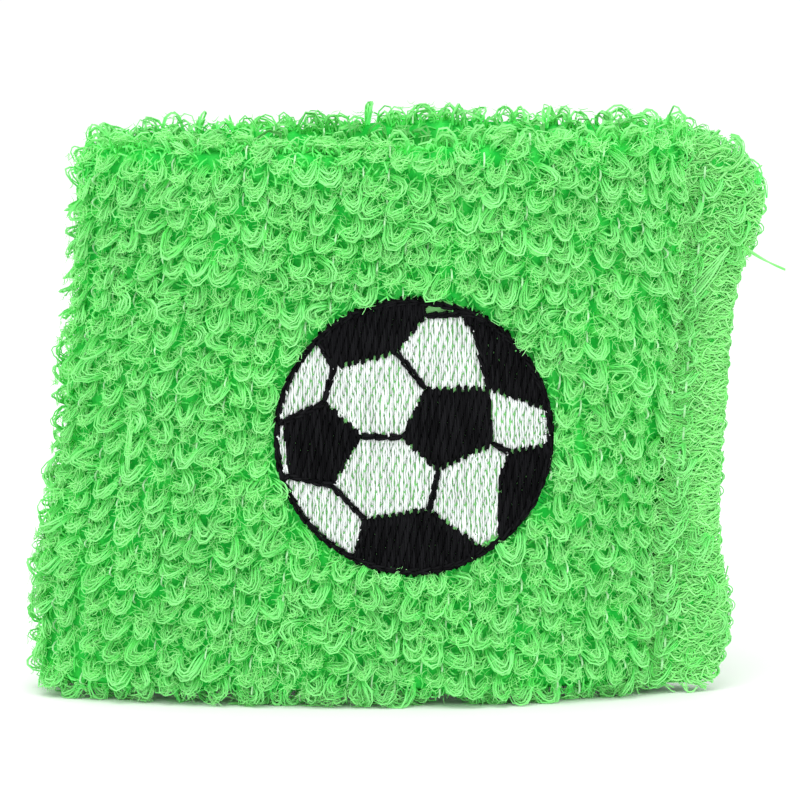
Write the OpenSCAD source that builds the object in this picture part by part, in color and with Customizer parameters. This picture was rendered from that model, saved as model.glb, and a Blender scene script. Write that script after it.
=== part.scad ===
// Sweat wristband: a flattened tube of looped terry, sewn into a loop at its right side, with a
// football embroidered on the front. It stands on its lower fold, front towards -Y, +Z up, and the
// origin is the middle of the box it fills, on the surface that it stands on. Millimetres.

/* [Loop] */
// Width of the flattened loop, without its seam allowance
loop_w = 79; // [60:1:110]
// Depth of the loop from front to back
loop_d = 27; // [22:1:44]
// Height of the band, from fold to fold
band_h = 72; // [50:1:100]
// How far the band leans to the right as it stands, in degrees
lean_angle = 4.5; // [0:0.5:8]

/* [Terry] */
// Height of the pile loops on each face
pile_t = 1.9; // [1.2:0.1:2.6]
// Thickness of the knitted ground that holds the loops
ground_t = 0.5; // [0.3:0.1:0.9]
// Room between the two plies for the elastic yarns and the backing
core_t = 1.2; // [0.9:0.1:2]
// Half of the arc by which each fold is pressed flat, in degrees
flat_angle = 25; // [10:1:40]

/* [Elastic yarns] */
// Number of elastic yarns in each ply
elastic_count = 12; // [4:1:20]
// Thickness of an elastic yarn
elastic_t = 0.25; // [0.15:0.05:0.35]
// Width of an elastic yarn
elastic_w = 0.5; // [0.3:0.1:1]

/* [Ball] */
// Radius of the embroidered ball
ball_r = 17.4; // [12:0.2:20]
// Place of the ball's middle to the right of the loop's middle
ball_right = 4.9; // [-4:0.1:10]
// Height of the ball's middle above the lower fold
ball_z = 34.5; // [26:0.5:42]
// Width of the black lines between two fields
line_w = 0.7; // [0.4:0.1:1.2]
// Width of the black line round the ball
rim_w = 0.7; // [0.4:0.1:1.2]
// Height that the stitches stand above the knitted ground
stitch_t = 1.0; // [0.5:0.1:1.6]
// Gap between the ball's rim and the pile round it
rim_gap = 0.15; // [0.1:0.05:0.4]

/* [Backing] */
// Thickness of the cut-away backing behind the ball
backing_t = 0.2; // [0.1:0.05:0.3]
// Margin of the backing round the ball
backing_margin = 3; // [1:0.5:5]
// Thickness of the bobbin thread under the backing
bobbin_t = 0.2; // [0.1:0.05:0.3]

/* [Seam] */
// Width of the seam allowance, from the stitching to its edge
allowance_w = 5.2; // [3:0.1:8]
// Thickness of each of its two pressed ends
allowance_t = 2.5; // [1.5:0.1:3]
// Distance that the allowance stops short of each fold
allowance_inset = 1; // [0.5:0.1:4]
// Distance that its corner flares out near the top
flare_w = 3; // [0:0.1:5]
// Height of the flared stretch
flare_h = 9; // [6:0.5:14]
// Distance from the top of the allowance down to the flared stretch
flare_drop = 3; // [2:0.5:6]
// Thickness of the sewing thread
thread_d = 0.5; // [0.3:0.05:0.8]
// Length of one seam stitch
stitch_l = 2.2; // [1.5:0.1:3]
// Distance from one stitch to the next
stitch_pitch = 3; // [2.8:0.1:4]
// Distance from the root of the allowance to the line of stitches
stitch_in = 0.6; // [0.5:0.1:1.5]
// Reach of the overlock thread over each side of the allowance
overlock_reach = 3.6; // [2:0.1:4]

/* [Loose ends] */
// Height at which the tail of the sewing thread comes out
tail_z = 57; // [40:0.5:58]
// Bend radius of the tail
tail_bend = 6; // [4:0.5:10]
// Arc of the tail, in degrees
tail_arc = 47; // [30:1:80]
// Thickness of a pulled pile loop
pulled_d = 0.6; // [0.4:0.1:1]
// Length of the upright pulled loop on the front
pulled_l = 10.5; // [5:0.5:14]
// Height of its middle above the lower fold
pulled_z = 33; // [25:0.5:40]
// Length of the snag that slants over the seam
snag_l = 6; // [3:0.5:8]
// Tilt of that snag, in degrees
snag_tilt = 24; // [0:1:45]
// How far out from the seam line its lower end stands
snag_out = 1.6; // [1:0.1:3]

/* [Hidden] */
// Facets of a round strand
strand_facets = 24;
// Room between the elastic and the ground
elastic_gap = elastic_t / 10;
$fn = 180;

terry_green = [0.38, 0.82, 0.41];
deep_green = [0.16, 0.6, 0.24];
yarn_white = [0.88, 0.92, 0.86];
thread_white = [0.93, 0.95, 0.94];
thread_black = [0.09, 0.09, 0.09];

wall_t = 2 * (pile_t + ground_t) + core_t;
lean = tan(lean_angle);
hole_a = loop_w / 2 - wall_t;
hole_b = loop_d / 2 - wall_t;

// Corners round the loop, and corners round half a fold
around_n = 40;
fold_n = 4;
fold_low = wall_t / 2 * cos(flat_angle);
fold_high = band_h - fold_low;

// Depth of each layer's two faces, as a distance from the middle of the wall
pile_out = wall_t / 2;
ground_out = pile_out - pile_t;
ground_in = ground_out - ground_t;
backing_out = ground_in - elastic_t;
bobbin_out = backing_out - backing_t;

// The seam stands at the loop's right end, and the tail reaches furthest from it
tail_start_angle = 80;
tail_end_angle = tail_start_angle - tail_arc;
tail_reach = tail_bend * (cos(tail_end_angle) - cos(tail_start_angle));
end_reach = hole_a * cos(180 / around_n) + wall_t * hole_dir(180 / around_n).x;
left_reach = end_reach + lean * (band_h / 2 - fold_low);
right_reach = end_reach + allowance_w + lean * (tail_z - band_h / 2) + tail_reach;
loop_x = (left_reach - right_reach) / 2;
ball_x = loop_x + ball_right;

function hole_dir(angle) = let (d = [cos(angle) / hole_a, sin(angle) / hole_b]) d / norm(d);

// Middle of the lean at a height
function leaning_x(z) = loop_x + lean * (z - band_h / 2);

// Corner i of the loop, at a depth from the middle of the wall (out is positive) and a height
function loop_point(i, depth, z) =
    let (angle = 360 * (i + 0.5) / around_n, out = wall_t / 2 + depth, d = hole_dir(angle))
    [leaning_x(z) + hole_a * cos(angle) + out * d.x, hole_b * sin(angle) + out * d.y, z];

function loop_outline(depth, z) =
    [for (i = [0:around_n - 1]) let (p = loop_point(i, depth, z)) [p.x, p.y]];

// Corner k of half a fold, measured from the fold's lowest or highest line
function fold_angle(k) = flat_angle + (90 - flat_angle) * k / fold_n;

// A layer's face, as [depth, height] from the middle of the lower fold to that of the upper one
function face_line(r) = concat(
    [[0, fold_low - r * cos(flat_angle)]],
    [for (k = [0:fold_n]) [r * sin(fold_angle(k)), fold_low - r * cos(fold_angle(k))]],
    [for (k = [fold_n:-1:0]) [r * sin(fold_angle(k)), fold_high + r * cos(fold_angle(k))]],
    [[0, fold_high + r * cos(flat_angle)]]
);

function backwards(list) = [for (i = [len(list) - 1:-1:0]) list[i]];
function inward(list) = [for (p = list) [-p.x, p.y]];

// Section of the outer layer between two faces
function layer_section(r_out, r_in) = concat(face_line(r_out), backwards(face_line(r_in)));

// Section of a flat stretch of wall between two depths
function wall_section(depth_in, depth_out) = [
    [depth_in, fold_low], [depth_out, fold_low], [depth_out, fold_high], [depth_in, fold_high]
];

// A solid that carries a section right round the loop
module round_the_loop(section) {
    m = len(section);
    points = [for (i = [0:around_n - 1]) for (s = section) loop_point(i, s.x, s.y)];
    faces = [
        for (i = [0:around_n - 1]) for (j = [0:m - 1])
        let (i2 = (i + 1) % around_n, j2 = (j + 1) % m)
        each [
            [i * m + j, i * m + j2, i2 * m + j2],
            [i * m + j, i2 * m + j2, i2 * m + j]
        ]
    ];
    polyhedron(points, faces);
}

// Stands a flat drawing up, its middle at the ball's, and carries it out through the front wall
module through_the_front() {
    translate([ball_x, 0, ball_z])
        rotate([90, 0, 0])
            linear_extrude(loop_d)
                children();
}

module outer_pile() {
    color(terry_green)
    difference() {
        round_the_loop(layer_section(pile_out, ground_out));
        through_the_front() circle(ball_r + rim_gap);
    }
}

module outer_ground() {
    color(deep_green) round_the_loop(layer_section(ground_out, ground_in));
}

module inner_ground() {
    color(deep_green) round_the_loop(backwards(inward(layer_section(ground_out, ground_in))));
}

module inner_pile() {
    color(terry_green) round_the_loop(backwards(inward(layer_section(pile_out, ground_out))));
}

// Elastic yarns of one ply, as level rings between two depths
module elastic_yarns(depth_in, depth_out) {
    pitch = (fold_high - fold_low) / elastic_count;
    for (k = [0:elastic_count - 1]) {
        z = fold_low + pitch * (k + 0.5);
        color(yarn_white)
        translate([0, 0, z - elastic_w / 2])
            linear_extrude(elastic_w)
                difference() {
                    polygon(loop_outline(depth_out, z));
                    polygon(loop_outline(depth_in, z));
                }
    }
}

module outer_elastic_yarns() {
    elastic_yarns(backing_out, ground_in - elastic_gap);
}

module inner_elastic_yarns() {
    elastic_yarns(elastic_gap - ground_in, -backing_out);
}

// Right edge of the allowance at a height, flare included
flare_top = band_h - allowance_inset - flare_drop;
function root_x(z) = leaning_x(z) + end_reach;
function edge_x(z) =
    let (in_flare = z < flare_top && z > flare_top - flare_h)
    root_x(z) + allowance_w + (in_flare ? flare_w : 0);

module allowance_drawing() {
    low = allowance_inset;
    high = band_h - allowance_inset;
    polygon([
        [root_x(low), low],
        [root_x(low) + allowance_w, low],
        [root_x(flare_top - flare_h) + allowance_w, flare_top - flare_h],
        [root_x(flare_top - flare_h) + allowance_w + flare_w, flare_top - flare_h],
        [root_x(flare_top) + allowance_w + flare_w, flare_top],
        [root_x(flare_top) + allowance_w, flare_top],
        [root_x(high) + allowance_w, high],
        [root_x(high), high]
    ]);
}

module front_seam_allowance() {
    color(terry_green)
    rotate([90, 0, 0])
        linear_extrude(allowance_t)
            allowance_drawing();
}

module back_seam_allowance() {
    color(terry_green)
    translate([0, allowance_t, 0])
        rotate([90, 0, 0])
            linear_extrude(allowance_t)
                allowance_drawing();
}

// A run of upright stitches on one side of the allowance, front -1 or back 1
module seam_stitches(side) {
    count = floor((fold_high - fold_low) / stitch_pitch);
    for (k = [0:count - 1]) {
        z = fold_low + stitch_pitch * k;
        translate([root_x(z) + stitch_in, side * (allowance_t + thread_d / 2), z])
            cylinder(h = stitch_l, d = thread_d, $fn = strand_facets);
    }
}

module seam_needle_thread() {
    color(deep_green) seam_stitches(-1);
}

module seam_bobbin_thread() {
    color(deep_green) seam_stitches(1);
}

module overlock_thread() {
    half = allowance_t + thread_d;
    count = floor((fold_high - fold_low) / stitch_pitch);
    for (k = [0:count - 1]) {
        z = fold_low + stitch_pitch * (k + 0.5);
        x = max(edge_x(z), edge_x(z + thread_d));
        color(terry_green)
        translate([x, 0, z])
            difference() {
                translate([-overlock_reach, -half, 0])
                    cube([overlock_reach + thread_d, 2 * half, thread_d]);
                translate([-overlock_reach - 1, -allowance_t, -1])
                    cube([overlock_reach + 1, 2 * allowance_t, thread_d + 2]);
            }
    }
}

module thread_tail() {
    color(deep_green)
    translate([edge_x(tail_z), -allowance_t / 2, tail_z])
        rotate([90, 0, 0])
            translate([-tail_bend * cos(tail_start_angle), -tail_bend * sin(tail_start_angle), 0])
                rotate([0, 0, tail_end_angle])
                    rotate_extrude(angle = tail_arc)
                        translate([tail_bend, 0])
                            circle(d = thread_d, $fn = strand_facets);
}

// Corner of the loop on which the upright pulled loop lies
pulled_corner = 23;

module pulled_loops() {
    foot = loop_point(pulled_corner, pile_out + pulled_d / 2, pulled_z - pulled_l / 2);
    color(terry_green)
    translate(foot)
        rotate([0, lean_angle, 0])
            cylinder(h = pulled_l, d = pulled_d, $fn = strand_facets);
    color(terry_green)
    translate([root_x(pulled_z) + snag_out, -allowance_t - pulled_d / 2, pulled_z])
        rotate([0, snag_tilt, 0])
            cylinder(h = snag_l, d = pulled_d, $fn = strand_facets);
}

module embroidery_backing() {
    color("white")
    intersection() {
        round_the_loop(wall_section(bobbin_out, backing_out));
        through_the_front() circle(ball_r + backing_margin);
    }
}

module embroidery_bobbin_thread() {
    color(thread_white)
    intersection() {
        round_the_loop(wall_section(bobbin_out - bobbin_t, bobbin_out));
        through_the_front() circle(ball_r);
    }
}

// The ball is drawn flat, as a football seen from the front. Corners are in hundredths of its
// radius, right and up from its middle. Each list runs round a black field, and the white
// fields lie between them.
middle = [[8, 35], [54, 34], [57, -6], [17, -24], [-9, 0]];
left = [[-93, 11], [-64, 25], [-37, 1], [-58, -35], [-89, -29]];
top_left = [[8, 88], [-12, 62], [-57, 50]];
top_right = [[32, 89], [43, 77], middle[1]];
right = [[68, -12], [61, -33], [60, -73]];
bottom = [[-35, -60], [11, -53], [47, -81]];

// The rim between two angles, with corners outside the ball so that its circle makes the edge
rim_overshoot = 1.3;
function on_rim(angle) = 100 * [cos(angle), sin(angle)];
function past_rim(from, to) =
    [on_rim(from), rim_overshoot * on_rim(from), rim_overshoot * on_rim(to), on_rim(to)];

black_fields = [
    middle,
    concat(top_right, past_rim(10, 70)),
    concat(top_left, past_rim(134, 84)),
    left,
    concat(bottom, past_rim(-60, -115)),
    concat(right, past_rim(-50, -4))
];
white_fields = [
    [top_left[1], middle[0], middle[1], top_right[1], top_right[0], top_left[0]],
    [middle[0], middle[4], left[2], left[1], top_left[2], top_left[1]],
    [middle[4], middle[3], bottom[1], bottom[0], left[3], left[2]],
    [middle[3], middle[2], right[0], right[1], right[2], bottom[2], bottom[1]],
    concat([middle[1], middle[2], right[0]], past_rim(-4, 10)),
    concat([left[0], left[1], top_left[2]], past_rim(134, 174)),
    concat([left[4], left[3], bottom[0]], past_rim(-115, -162)),
    concat([left[4], left[0]], past_rim(174, 198))
];

module field_drawing(corners) {
    intersection() {
        circle(ball_r - rim_w);
        offset(delta = -line_w / 2)
            polygon(corners * (ball_r / 100));
    }
}

module stitch_layer() {
    round_the_loop(wall_section(ground_out, ground_out + stitch_t));
}

module field(corners, shade) {
    color(shade)
    intersection() {
        stitch_layer();
        through_the_front() field_drawing(corners);
    }
}

module black_field(n) { field(black_fields[n], thread_black); }
module white_field(n) { field(white_fields[n], thread_white); }

module ball_outline_thread() {
    color(thread_black)
    intersection() {
        stitch_layer();
        through_the_front()
            difference() {
                circle(ball_r);
                for (corners = concat(black_fields, white_fields)) field_drawing(corners);
            }
    }
}

outer_pile();
outer_ground();
outer_elastic_yarns();
inner_elastic_yarns();
inner_ground();
inner_pile();
front_seam_allowance();
back_seam_allowance();
seam_needle_thread();
seam_bobbin_thread();
overlock_thread();
thread_tail();
pulled_loops();
embroidery_backing();
embroidery_bobbin_thread();
ball_outline_thread();
black_field(0);  // black_field_middle
black_field(1);  // black_field_top_right
black_field(2);  // black_field_top_left
black_field(3);  // black_field_left
black_field(4);  // black_field_bottom
black_field(5);  // black_field_right
white_field(0);  // white_field_top
white_field(1);  // white_field_upper_left
white_field(2);  // white_field_lower_left
white_field(3);  // white_field_lower_right
white_field(4);  // white_field_right
white_field(5);  // white_field_edge_upper_left
white_field(6);  // white_field_edge_lower_left
white_field(7);  // white_field_edge_left
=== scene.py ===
"""Sweat wristband: looped terry, a side seam and an embroidered football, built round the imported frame.

The knitted ground is a closed grid that goes round the loop and round the flattened tube. It is
puffed out a little by cloth simulation, and everything else is laid on it: pile loops as bundles of
fibres, dashes of ground yarn, the embroidery stitch by stitch, and the seam with its combed allowance.
Lengths are millimetres in the dataclasses and metres in the meshes.
"""
from __future__ import annotations

import logging
import math
from dataclasses import dataclass, field
from enum import Enum

import bmesh
import bpy
import numpy as np
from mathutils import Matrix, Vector
from mathutils.bvhtree import BVHTree


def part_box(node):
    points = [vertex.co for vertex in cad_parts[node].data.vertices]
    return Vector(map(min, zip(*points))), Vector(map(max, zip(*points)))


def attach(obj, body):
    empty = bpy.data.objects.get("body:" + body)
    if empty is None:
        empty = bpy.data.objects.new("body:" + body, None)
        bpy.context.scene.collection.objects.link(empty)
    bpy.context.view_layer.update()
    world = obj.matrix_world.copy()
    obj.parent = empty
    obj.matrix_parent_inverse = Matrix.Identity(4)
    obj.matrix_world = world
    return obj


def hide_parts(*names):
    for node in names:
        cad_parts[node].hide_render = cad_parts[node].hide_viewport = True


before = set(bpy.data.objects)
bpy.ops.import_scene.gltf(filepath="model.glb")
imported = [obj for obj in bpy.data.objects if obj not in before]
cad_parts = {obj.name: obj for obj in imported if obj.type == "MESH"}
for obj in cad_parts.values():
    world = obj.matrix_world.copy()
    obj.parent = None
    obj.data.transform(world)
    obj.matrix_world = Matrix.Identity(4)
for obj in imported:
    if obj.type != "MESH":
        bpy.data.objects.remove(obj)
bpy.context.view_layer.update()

log = logging.getLogger("wristband")
MM = 0.001


# ---------------------------------------------------------------- finishes

class Shade(Enum):
    """Linear colours of the yarns and threads."""

    # Pile yarn: the paler crest colour is a painted highlight on the loop tops, the deeper root colour is
    # painted shade in the hollows between loops.
    PILE_CREST_PAINTED_HIGHLIGHT = (0.285, 0.84, 0.27)
    PILE_ROOT_PAINTED_SHADE = (0.085, 0.84, 0.13)
    FUZZ = (0.33, 0.87, 0.295)
    # The knitted ground's dark green is painted shade for the hollows between the loops.
    GROUND_PAINTED_SHADE = (0.02, 0.54, 0.06)
    GROUND_YARN = (0.50, 0.86, 0.48)
    ELASTIC = (0.72, 0.76, 0.70)
    SEWING = (0.16, 0.72, 0.18)
    FLEECE = (0.82, 0.83, 0.80)
    WHITE = (0.83, 0.87, 0.86)
    BLACK = (0.008, 0.008, 0.009)
    FLOOR = (0.97, 0.97, 0.97)


def rgba(colour: tuple[float, float, float]) -> tuple[float, float, float, float]:
    """A colour with full alpha."""
    return (*colour, 1.0)


def plain_material(name: str, roughness: float, specular: float) -> bpy.types.Material:
    """A new material with its gloss set.

    Args:
        name: Its name, which no slot of the frame has.
        roughness: Roughness of its surface.
        specular: Strength of its gloss.

    Returns:
        The material, still without a colour.
    """
    material = bpy.data.materials.new(name)
    material.use_nodes = True
    shader = material.node_tree.nodes["Principled BSDF"]
    shader.inputs["Roughness"].default_value = roughness
    shader.inputs["Specular IOR Level"].default_value = specular
    return material


def fibre_tint_group() -> bpy.types.ShaderNodeTree:
    """Builds the node group that every yarn uses: tint from root to crest, per strand and by wear; the
    root-to-crest tint is painted shade at the roots and a painted highlight at the crests.

    Returns:
        The group, made once and found by its name after that.
    """
    name = "fibre_tint"
    if name in bpy.data.node_groups:
        return bpy.data.node_groups[name]
    group = bpy.data.node_groups.new(name, "ShaderNodeTree")
    for label, way, kind in (
        ("Root", "INPUT", "Color"), ("Crest", "INPUT", "Color"), ("Strand Spread", "INPUT", "Float"),
        ("Patch Spread", "INPUT", "Float"), ("Colour", "OUTPUT", "Color"), ("Height", "OUTPUT", "Float"),
    ):
        group.interface.new_socket(label, in_out=way, socket_type="NodeSocket" + kind)
    nodes, links = group.nodes, group.links
    start = nodes.new("NodeGroupInput")
    end = nodes.new("NodeGroupOutput")
    tip = nodes.new("ShaderNodeAttribute")
    tip.attribute_name = "tip"
    strand = nodes.new("ShaderNodeAttribute")
    strand.attribute_name = "strand"
    place = nodes.new("ShaderNodeTexCoord")
    patch = nodes.new("ShaderNodeTexNoise")
    patch.inputs["Scale"].default_value = 90.0
    patch.inputs["Detail"].default_value = 3.0
    fleck = nodes.new("ShaderNodeTexNoise")
    fleck.inputs["Scale"].default_value = 2600.0
    fleck.inputs["Detail"].default_value = 2.0
    # Root-to-crest blend by the tip attribute: painted shade at the roots, painted highlight at the
    # crests.
    blend = nodes.new("ShaderNodeMix")
    blend.data_type = "RGBA"
    links.new(tip.outputs["Fac"], blend.inputs["Factor"])
    links.new(start.outputs["Root"], blend.inputs["A"])
    links.new(start.outputs["Crest"], blend.inputs["B"])
    links.new(place.outputs["Object"], patch.inputs["Vector"])
    links.new(place.outputs["Object"], fleck.inputs["Vector"])

    def swing(source: bpy.types.NodeSocket, spread: bpy.types.NodeSocket) -> bpy.types.NodeSocket:
        """A multiplier about 1 that swings with a value from 0 to 1.

        Args:
            source: The value, 0.5 at its middle.
            spread: How far the multiplier swings.

        Returns:
            The multiplier's socket.
        """
        centred = nodes.new("ShaderNodeMath")
        centred.operation = "SUBTRACT"
        centred.inputs[1].default_value = 0.5
        links.new(source, centred.inputs[0])
        scaled = nodes.new("ShaderNodeMath")
        scaled.operation = "MULTIPLY_ADD"
        scaled.inputs[2].default_value = 1.0
        links.new(centred.outputs[0], scaled.inputs[0])
        links.new(spread, scaled.inputs[1])
        return scaled.outputs[0]

    both = nodes.new("ShaderNodeMath")
    both.operation = "MULTIPLY"
    links.new(swing(strand.outputs["Fac"], start.outputs["Strand Spread"]), both.inputs[0])
    links.new(swing(patch.outputs["Fac"], start.outputs["Patch Spread"]), both.inputs[1])
    bright = nodes.new("ShaderNodeVectorMath")
    bright.operation = "SCALE"
    links.new(blend.outputs["Result"], bright.inputs[0])
    links.new(both.outputs[0], bright.inputs["Scale"])
    links.new(bright.outputs[0], end.inputs["Colour"])
    links.new(fleck.outputs["Fac"], end.inputs["Height"])
    return group


@dataclass(frozen=True)
class YarnFinish:
    """A finish for spun yarn or thread."""

    name: str
    root: tuple[float, float, float]
    crest: tuple[float, float, float]
    roughness: float = 0.8
    sheen: float = 0.0
    strand_spread: float = 0.35
    patch_spread: float = 0.2
    bump: float = 0.25
    specular: float = 0.0
    smooth: bool = True

    def material(self) -> bpy.types.Material:
        """Builds the material, or finds the one built before."""
        if self.name in bpy.data.materials:
            return bpy.data.materials[self.name]
        material = plain_material(self.name, self.roughness, self.specular)
        nodes, links = material.node_tree.nodes, material.node_tree.links
        shader = nodes["Principled BSDF"]
        tint = nodes.new("ShaderNodeGroup")
        tint.node_tree = fibre_tint_group()
        tint.inputs["Root"].default_value = rgba(self.root)
        tint.inputs["Crest"].default_value = rgba(self.crest)
        tint.inputs["Strand Spread"].default_value = self.strand_spread
        tint.inputs["Patch Spread"].default_value = self.patch_spread
        bump = nodes.new("ShaderNodeBump")
        bump.inputs["Strength"].default_value = self.bump
        bump.inputs["Distance"].default_value = 0.05 * MM
        links.new(tint.outputs["Colour"], shader.inputs["Base Color"])
        links.new(tint.outputs["Height"], bump.inputs["Height"])
        links.new(bump.outputs["Normal"], shader.inputs["Normal"])
        shader.inputs["Sheen Weight"].default_value = self.sheen
        shader.inputs["Sheen Roughness"].default_value = 0.5
        shader.inputs["Sheen Tint"].default_value = rgba(self.crest)
        return material


@dataclass(frozen=True)
class KnitFinish:
    """A finish for flat knitted or felted cloth, with fine wavy ribs."""

    name: str
    colour: tuple[float, float, float]
    thread: tuple[float, float, float]
    ribs: float = 110.0
    roughness: float = 0.9
    specular: float = 0.02
    smooth: bool = True

    def material(self) -> bpy.types.Material:
        """Builds the material, or finds the one built before."""
        if self.name in bpy.data.materials:
            return bpy.data.materials[self.name]
        material = plain_material(self.name, self.roughness, self.specular)
        nodes, links = material.node_tree.nodes, material.node_tree.links
        shader = nodes["Principled BSDF"]
        place = nodes.new("ShaderNodeTexCoord")
        wave = nodes.new("ShaderNodeTexWave")
        wave.bands_direction = "X"
        wave.inputs["Scale"].default_value = self.ribs
        wave.inputs["Distortion"].default_value = 3.0
        noise = nodes.new("ShaderNodeTexNoise")
        noise.inputs["Scale"].default_value = 900.0
        ramp = nodes.new("ShaderNodeMix")
        ramp.data_type = "RGBA"
        ramp.inputs["A"].default_value = rgba(self.colour)
        ramp.inputs["B"].default_value = rgba(self.thread)
        pick = nodes.new("ShaderNodeMath")
        pick.operation = "MULTIPLY"
        bump = nodes.new("ShaderNodeBump")
        bump.inputs["Strength"].default_value = 0.6
        bump.inputs["Distance"].default_value = 0.15 * MM
        links.new(place.outputs["Object"], wave.inputs["Vector"])
        links.new(place.outputs["Object"], noise.inputs["Vector"])
        links.new(wave.outputs["Fac"], pick.inputs[0])
        links.new(noise.outputs["Fac"], pick.inputs[1])
        links.new(pick.outputs[0], ramp.inputs["Factor"])
        links.new(ramp.outputs["Result"], shader.inputs["Base Color"])
        links.new(wave.outputs["Fac"], bump.inputs["Height"])
        links.new(bump.outputs["Normal"], shader.inputs["Normal"])
        return material


# Pile yarn: its tip attribute blends painted shade at the roots into a painted highlight at the crests.
PILE_FINISH = YarnFinish(
    "terry_yarn", Shade.PILE_ROOT_PAINTED_SHADE.value, Shade.PILE_CREST_PAINTED_HIGHLIGHT.value, strand_spread=0.22, bump=0.0,
    smooth=False,
)
FUZZ_FINISH = YarnFinish("terry_fuzz", Shade.FUZZ.value, Shade.FUZZ.value, bump=0.0, smooth=False)
SEWING_FINISH = YarnFinish("spun_sewing_thread", Shade.SEWING.value, Shade.SEWING.value, 0.6, 0.2)
GROUND_YARN_FINISH = YarnFinish(
    "ground_yarn", Shade.GROUND_YARN.value, Shade.GROUND_YARN.value, smooth=False
)
ELASTIC_FINISH = YarnFinish("covered_elastic", Shade.ELASTIC.value, Shade.ELASTIC.value)
WHITE_FINISH = YarnFinish(
    "embroidery_white", Shade.WHITE.value, Shade.WHITE.value, 0.45, 0.0, 0.3, 0.1, 0.2, 0.35
)
BLACK_FINISH = YarnFinish(
    "embroidery_black", Shade.BLACK.value, Shade.BLACK.value, 0.5, 0.0, 0.9, 0.3, 0.3, 0.01
)
# Knitted ground and seam allowances: a painted-shade dark green, ribbed with the pile's painted-shade
# root green.
GROUND_FINISH = KnitFinish("knitted_ground", Shade.GROUND_PAINTED_SHADE.value, Shade.PILE_ROOT_PAINTED_SHADE.value)
FLEECE_FINISH = KnitFinish("cutaway_fleece", Shade.FLEECE.value, Shade.WHITE.value, 300.0)


# ---------------------------------------------------------------- helpers

def unit(v: np.ndarray) -> np.ndarray:
    """Vectors along the last axis, each made one long."""
    return v / np.maximum(np.linalg.norm(v, axis=-1, keepdims=True), 1e-12)


def linked(name: str, body: bmesh.types.BMesh) -> bpy.types.Object:
    """Turns a finished bmesh into an object in the scene.

    Args:
        name: The piece's name.
        body: The bmesh, which is freed.

    Returns:
        The mesh object.
    """
    mesh = bpy.data.meshes.new(name)
    body.to_mesh(mesh)
    body.free()
    piece = bpy.data.objects.new(name, mesh)
    bpy.context.scene.collection.objects.link(piece)
    return piece


def thickened(piece: bpy.types.Object, thickness: float, offset: float = 0.0) -> bpy.types.Object:
    """Gives a sheet its thickness, which makes it a closed solid.

    Args:
        piece: The sheet.
        thickness: Its thickness in millimetres.
        offset: -1 to thicken it inwards, 0 both ways.

    Returns:
        The same object.
    """
    solid = piece.modifiers.new("thickness", "SOLIDIFY")
    solid.thickness = thickness * MM
    solid.offset = offset
    return piece


def laid(spots: tuple[np.ndarray, ...], a: np.ndarray, b: np.ndarray, n: np.ndarray,
         lowest: float = -math.inf) -> np.ndarray:
    """Lays fibres out from their places on the cloth.

    Args:
        spots: Each fibre's place in metres, and the directions along, up and out there.
        a: Distances along, (fibres, points), in millimetres.
        b: Distances up.
        n: Distances out.
        lowest: Height that no point goes below, in millimetres.

    Returns:
        Paths (fibres, points, 3) in metres.
    """
    place, along, up, out = (part[:, None, :] for part in spots)
    paths = place + along * a[..., None] * MM + up * b[..., None] * MM + out * n[..., None] * MM
    paths[..., 2] = np.maximum(paths[..., 2], lowest * MM)
    return paths


def dress(piece: bpy.types.Object, finish: YarnFinish | KnitFinish,
          node: str = "") -> bpy.types.Object:
    """Gives a piece its material, its body and the node that it replaces.

    Args:
        piece: The finished object.
        finish: Its finish.
        node: The node that it replaces, if it does.

    Returns:
        The same object.
    """
    piece.data.materials.clear()
    piece.data.materials.append(finish.material())
    for polygon in piece.data.polygons:
        polygon.use_smooth = finish.smooth
    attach(piece, "root")
    if node:
        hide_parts(node)
    log.info("%s: %d faces", piece.name, len(piece.data.polygons))
    return piece


def ring_curve(sides: int) -> bpy.types.Object:
    """A small regular polygon that a curve carries along as its section.

    Args:
        sides: Number of corners.

    Returns:
        The curve object, of radius one thousandth.
    """
    ring = bpy.data.curves.new("strand_section", "CURVE")
    ring.dimensions = "2D"
    spline = ring.splines.new("POLY")
    spline.points.add(sides - 1)
    for k, point in enumerate(spline.points):
        turn = 2 * math.pi * k / sides
        point.co = (MM * math.cos(turn), MM * math.sin(turn), 0, 1)
    spline.use_cyclic_u = True
    holder = bpy.data.objects.new("strand_section", ring)
    bpy.context.scene.collection.objects.link(holder)
    return holder


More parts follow.
